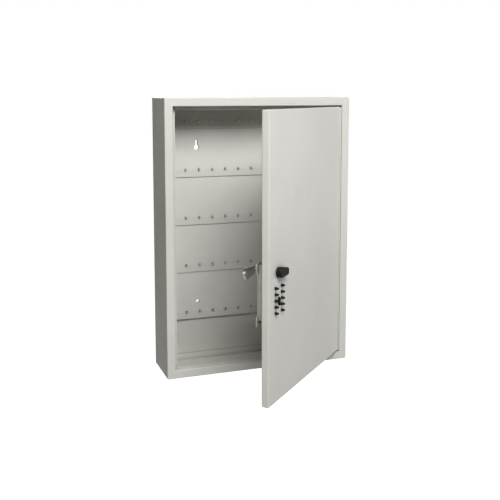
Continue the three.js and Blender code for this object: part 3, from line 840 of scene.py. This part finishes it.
def lock_screw():
    """A pan-head screw with a cross recess, along Y from its tip."""
    near, far = screw_spans[0]
    head = far.y - SCREW_HEAD
    profile = [
        (0, near.y), (1.3, near.y), (1.8, near.y + 0.6), (1.8, head), (3.4, head),
        (3.6, head + 0.3), (3.55, head + 1.1), (3.2, head + 1.8), (2.5, head + 2.4),
        (1.4, head + 2.65), (0, head + SCREW_HEAD),
    ]
    depth = head + 1.5
    wide, narrow = 2.0, 0.42
    recess = [
        block(-wide, wide, depth, head + 4, -narrow, narrow),
        block(-narrow, narrow, depth + 0.01, head + 4, -wide, wide),
    ]
    return cut(cut(lathe(profile), recess[:1]), recess[1:])


piece("lock_cover", lock_cover(), ZINC, "door", ["lock_rear_plate"], DOOR, edge=0.3)
for i, (x, z) in enumerate(screw_places):
    name = f"cover_screw_{i + 1}"
    at_screw = DOOR @ Matrix.Translation(Vector((x, 0, z)) * MM)
    piece(name, lock_screw(), SCREW, "door", [f"lock_screw_{i + 1}"], at_screw, edge=0.1)
refinish("lock_housing", CAST, 0.5)
refinish("button_guide_plate", ZINC, 0.2)
refinish("detent_plate", ZINC, 0.2)
refinish("drive_cam", BRASS)
refinish("locking_bar", BRASS)

# ---------------------------------------------------------------- buttons and clear slide

BUTTON_REACH = 6
# How far behind the door's face the collars and the flat slider are drawn. The CAD has
# both 3.3 mm behind it, so they are 1.3 mm too deep and each collar cuts into its spring.
COLLAR_DEPTH = 4.6
RIBS = 7
RIB_PITCH = 1.4
FIRST_RIB = -4.6
TAB_HALF = 1.3


def button_cap(near, far):
    """A tapered cap with a domed end, a retaining collar and a stem, along Y."""
    tip, end = near.y, far.y
    face = tip + BUTTON_REACH
    collar = face + COLLAR_DEPTH
    profile = [
        (0, tip), (0.75, tip + 0.05), (1.3, tip + 0.25), (1.65, tip + 0.6), (1.82, tip + 1.1),
        (1.95, tip + 2), (2.1, tip + 3.4), (2.35, tip + 4.3), (2.6, tip + 4.9), (2.6, collar),
        (3.65, collar), (3.8, collar + 0.15), (3.8, collar + 1.05), (3.65, collar + 1.2),
        (1.7, collar + 1.2), (1.7, end - 0.4), (1.3, end), (0, end),
    ]
    return lathe(profile, 24)


for i, (near, far) in enumerate(buttons):
    x, z = button_places[i]
    place = DOOR @ Matrix.Translation(Vector((x, 0, z)) * MM)
    node, body = f"button_{i + 1}", f"button_{i + 1}"
    piece(f"button_cap_{i + 1}", button_cap(near, far), BLACK, body, [node], place)
    coil_low, coil_high = span(f"button_spring_{i + 1}", DOOR)
    length = coil_high.y - coil_low.y
    coil = spring(radius=2.9, wire=0.5, length=length, turns=3)
    at_spring = place @ Matrix.Translation(Vector((0, coil_low.y, 0)) * MM)
    coil = piece(f"button_coil_{i + 1}", coil, WIRE, "door", [f"button_spring_{i + 1}"], at_spring)
    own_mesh(coil)


def clear_tab():
    """A ribbed thumb tab on a flat slider, with the post that lifts the detent plate."""
    face = door_low.y
    slider = face + COLLAR_DEPTH
    side = rounded(
        [
            (slider + 0.4, -6.2), (face - 3.6, -6.2), (face - 3.6, -3.2), (face - 3.2, 5.0),
            (face - 1.2, 6.8), (face - 0.3, 6.8), (face - 0.3, 2.2), (slider + 0.4, 2.2),
        ],
        [0, 0.6, 1.0, 1.0, 0.3, 0.1, 0.1, 0],
    )
    tab = bar(side, -TAB_HALF, TAB_HALF)
    ribs = []
    for i in range(RIBS):
        z = FIRST_RIB + RIB_PITCH * i
        depth = face - 3.35 + max(z + 3.2, 0) / 20
        ribs.append(block(-2, 2, depth - 2, depth, z - 0.3, z + 0.3))
    tab = cut(tab, ribs)
    flat = prism(rectangle(-3.6, 3.6, -SLIDER_BELOW, SLIDER_ABOVE, 0.8), slider, slider + 1.4)
    post = prism(rectangle(-1.6, 1.6, -2.5, 2.5, 0.4), slider + 0.2, clear_high.y)
    return join(tab, [flat, post])


clear_place = DOOR @ Matrix.Translation(Vector((LOCK_X, 0, CLEAR_Z)) * MM)
piece("clear_tab", clear_tab(), BLACK, "clear_set", ["clear_slide"], clear_place, edge=0.2)
coil_low, coil_high = span("clear_slide_spring", DOOR)
length = coil_high.z - coil_low.z
coil = spring(radius=1.5, wire=0.45, length=length, turns=4)
coil.transform(Matrix.Rotation(math.radians(90), 4, "X"))
middle = (coil_low + coil_high) / 2
at_spring = DOOR @ Matrix.Translation(Vector((middle.x, middle.y, coil_low.z)) * MM)
coil = piece("clear_coil", coil, WIRE, "door", ["clear_slide_spring"], at_spring)
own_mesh(coil)

# ---------------------------------------------------------------- turn lever and latch

HEEL = Vector((-3, 0.8))
HEEL_RADIUS = 8.3
BAR_REACH, BAR_TOP, BAR_BOTTOM = 21, 4.8, -6.8
THREAD_RADIUS = 2.95
THREAD_ROOT = 2.6
THREAD_FROM_ARM = 2.4
THREAD_STEP = 0.81
LEVER_SOCKET = 4.3
NUT_BORE = 3.3


def lever_outline(inset):
    """A round heel that runs into a short drooping bar, drawn in by an inset."""
    heel = HEEL_RADIUS - inset
    reach = BAR_REACH - inset
    ends = Vector((reach, BAR_BOTTOM + inset)), Vector((reach, BAR_TOP - inset))
    # The bar's edges leave the heel where they touch its circle.
    bearings = [math.atan2(end.y - HEEL.y, end.x - HEEL.x) for end in ends]
    touches = [math.acos(heel / (end - HEEL).length) for end in ends]
    start, stop = bearings[1] + touches[1], 2 * math.pi + bearings[0] - touches[0]
    count = 30
    turns = [start + (stop - start) * i / count for i in range(count + 1)]
    points = [HEEL + Vector((math.cos(a), math.sin(a))) * heel for a in turns]
    radius = max(2.4 - inset * 0.6, 0.6)
    points += arc_at(points[-1], ends[0], ends[1], radius, 5)
    points += arc_at(ends[0], ends[1], points[0], radius, 5)
    return points


def lever_grip():
    """The turn lever: drafted sides, a soft front edge and a relief behind the bar."""
    near, far = span("lever", LOCK)
    front, rear = near.y, far.y
    levels = [
        (rear, 0.5), (rear - 0.4, 0.1), (rear - 0.9, 0), (rear - 5, 0.12), (front + 2.2, 0.3),
        (front + 1.2, 0.45), (front + 0.5, 0.8), (front + 0.12, 1.3), (front, 1.9),
    ]
    grip = loft([[(x, y, z) for x, z in lever_outline(inset)] for y, inset in levels])
    relief = prism(rectangle(11, 27, -8, 8, 1.5), rear - 2.2, rear + 2)
    socket = pole(0, 0, LEVER_SOCKET, front + 2, rear + 1)
    return cut(cut(grip, [relief]), [socket])


def lever_shaft():
    """The spindle: a shoulder behind the cover and a threaded end for the nut."""
    near, far = span("spindle", LOCK)
    shoulder = plate_high.y + 0.3
    arm = span("latch_cam", LOCK)[0].y
    profile = [(0, near.y), (3.6, near.y), (4, near.y + 0.4), (4, shoulder), (6.8, shoulder)]
    profile += [(7, shoulder + 0.2), (7, arm - 0.5), (6.8, arm - 0.3)]
    profile.append((THREAD_RADIUS, arm - 0.3))
    y = arm + THREAD_FROM_ARM
    while y < far.y - 0.9:
        profile += [(THREAD_RADIUS, y), (THREAD_ROOT, y + 0.4), (THREAD_RADIUS, y + 0.8)]
        y += THREAD_STEP
    profile += [(2.7, far.y), (0, far.y)]
    return lathe(profile, 28)


def latch_arm():
    """The latch cam: a plate arm whose broad tip has a rim turned back round its end."""
    near, far = span("latch_cam", LOCK)
    top, tip = far.z, -near.x
    hub_top = 8.7
    rise = (top - hub_top) / 36
    front, back = near.y, near.y + 2

    def tip_curve():
        return curve((-34, top), (0.6 - tip, top), (-tip, 2)) + curve(
            (-tip, 2), (-0.2 - tip, -4), (-37, -7.6)
        )

    start = Vector((6.5, -6))
    arm = [start] + curve(start, (7.5, 0), (5.5, 6)) + [Vector((2, hub_top)), Vector((-34, top))]
    arm += tip_curve() + [Vector((-31, -7)), Vector((-8, -3.2))]
    arm += curve((-8, -3.2), (0, -9.5), start)[:-1]
    rim = [Vector((-30, top - 4 * rise)), Vector((-34, top))]
    rim += tip_curve() + [Vector((-36.4, -6.2))]
    rim += curve((-36.4, -6.2), (-42.2, -3), (-42, 2))
    rim += curve((-42, 2), (-41.6, top - 1.6), (-34, top - 1.6))
    rim.append(Vector((-30, top - 1.6 - 4 * rise)))
    plate = join(prism(arm, front, back), [prism(rim, front + 0.5, far.y)])
    return cut(plate, [pole(0, 0, NUT_BORE, front - 1, back + 1, 24)])


def hub_nut():
    """A hexagon nut with chamfered corners on a round flange."""
    near, far = span("cam_nut", LOCK)
    corners = 5.6
    hexagon = prism(circle(0, 0, corners, 6), near.y + 0.6, far.y)
    chamfer = lathe(
        [(0, near.y), (corners + 1, near.y), (corners + 0.3, far.y - 1.1),
         (corners - 0.9, far.y), (0, far.y)], 36,
    )
    hexagon = combine(hexagon, [chamfer], "INTERSECT")
    flange = lathe(
        [(0, near.y), (6.5, near.y), (6.8, near.y + 0.3), (6.7, near.y + 0.9),
         (5.2, near.y + 1.25), (0, near.y + 1.25)], 36,
    )
    return cut(join(hexagon, [flange]), [pole(0, 0, NUT_BORE, near.y - 1, far.y + 1, 24)])


piece("lever_grip", lever_grip(), BLACK, "lever_set", ["lever"], LOCK, smooth=42)
piece("lever_shaft", lever_shaft(), ZINC, "lever_set", ["spindle"], LOCK)
piece("latch_arm", latch_arm(), CAM, "lever_set", ["latch_cam"], LOCK, edge=0.35)
piece("hub_nut", hub_nut(), ZINC, "lever_set", ["cam_nut"], LOCK, edge=0.15)
coil_low, coil_high = span("lever_spring", LOCK)
length = coil_high.y - coil_low.y
lever_coil = spring(radius=6.2, wire=1, length=length, turns=2, around=20)
at_spring = LOCK @ Matrix.Translation(Vector((0, coil_low.y, 0)) * MM)
piece("lever_coil", lever_coil, WIRE, "door", ["lever_spring"], at_spring)

# ---------------------------------------------------------------- studio

FLOOR_DROP = 0.75
FLOOR_RADIUS = 14
LIGHT_TARGET = Vector((0, -0.12, 0.02))
CAMERA_PLACE = (-0.4816, -1.3962, 0.2528)
CAMERA_YAW = 19.522
CAMERA_PITCH = 6.628
CAMERA_LENS = 56.63
CAMERA_SHIFT = -0.13


def studio_floor():
    """A pale floor that stays white where the camera sees it."""
    finish = Finish("studio_floor", Roughness=0.9)
    cloud = finish.between(finish.noise(1.5, 2), 0.3, 0.7, 0, 1)
    colour = finish.blend(cloud, (0.80, 0.80, 0.79), (0.83, 0.83, 0.82))
    finish.link(colour, finish.shader.inputs["Base Color"])
    path = finish.add("ShaderNodeLightPath")
    finish.shader.inputs["Emission Color"].default_value = (1, 1, 1, 1)
    finish.link(path.outputs["Is Camera Ray"], finish.shader.inputs["Emission Strength"])
    mesh = bpy.data.meshes.new("studio_floor")
    bm = bmesh.new()
    bmesh.ops.create_circle(bm, cap_ends=True, segments=64, radius=FLOOR_RADIUS)
    bm.to_mesh(mesh)
    bm.free()
    obj = bpy.data.objects.new("studio_floor", mesh)
    obj.location = (0, 0, CAD_BOX[0][2] - FLOOR_DROP)
    mesh.materials.append(finish.material)
    bpy.context.scene.collection.objects.link(obj)


def lit_from(name, distance, turn, height, size, power, colour=(1, 1, 1)):
    """A softbox aimed at the cabinet, turned right of its front and raised, in degrees."""
    data = bpy.data.lights.new(name, "AREA")
    data.shape = "RECTANGLE"
    data.size, data.size_y = size
    data.energy = power
    data.color = colour
    turn, height = math.radians(turn), math.radians(height)
    back = Vector((
        math.sin(turn) * math.cos(height), -math.cos(turn) * math.cos(height), math.sin(height),
    ))
    obj = bpy.data.objects.new(name, data)
    obj.location = LIGHT_TARGET + back * distance
    obj.rotation_euler = (-back).to_track_quat("-Z", "Y").to_euler()
    bpy.context.scene.collection.objects.link(obj)


def studio_air(ambient):
    """White behind everything the camera sees, and a dimmer grey as ambient light."""
    world = bpy.data.worlds.new("studio_air")
    world.use_nodes = True
    tree = world.node_tree
    tree.nodes.clear()
    seen = tree.nodes.new("ShaderNodeBackground")
    seen.inputs["Color"].default_value = (1, 1, 1, 1)
    felt = tree.nodes.new("ShaderNodeBackground")
    felt.inputs["Color"].default_value = (1, 1, 1, 1)
    felt.inputs["Strength"].default_value = ambient
    path = tree.nodes.new("ShaderNodeLightPath")
    mix = tree.nodes.new("ShaderNodeMixShader")
    out = tree.nodes.new("ShaderNodeOutputWorld")
    tree.links.new(path.outputs["Is Camera Ray"], mix.inputs["Fac"])
    tree.links.new(felt.outputs[0], mix.inputs[1])
    tree.links.new(seen.outputs[0], mix.inputs[2])
    tree.links.new(mix.outputs[0], out.inputs["Surface"])
    bpy.context.scene.world = world


def camera():
    data = bpy.data.cameras.new("camera")
    data.sensor_width = 36
    data.lens = CAMERA_LENS
    data.shift_y = CAMERA_SHIFT
    obj = bpy.data.objects.new("camera", data)
    obj.location = CAMERA_PLACE
    obj.rotation_euler = (math.radians(90 - CAMERA_PITCH), 0, math.radians(-CAMERA_YAW))
    bpy.context.scene.collection.objects.link(obj)
    bpy.context.scene.camera = obj


studio_floor()
studio_air(0.01)
lit_from("key_light", 1.7, -4, 41, (0.85, 0.75), 33.5)
lit_from("left_light", 1.7, -72, 9, (0.7, 0.7), 4.0, (1, 0.95, 0.88))
lit_from("right_light", 1.7, 85, 3, (0.7, 0.7), 8.3)
lit_from("back_light", 2.0, 180, 30, (1.4, 0.8), 24)
camera()
bpy.context.scene.view_settings.view_transform = "Standard"
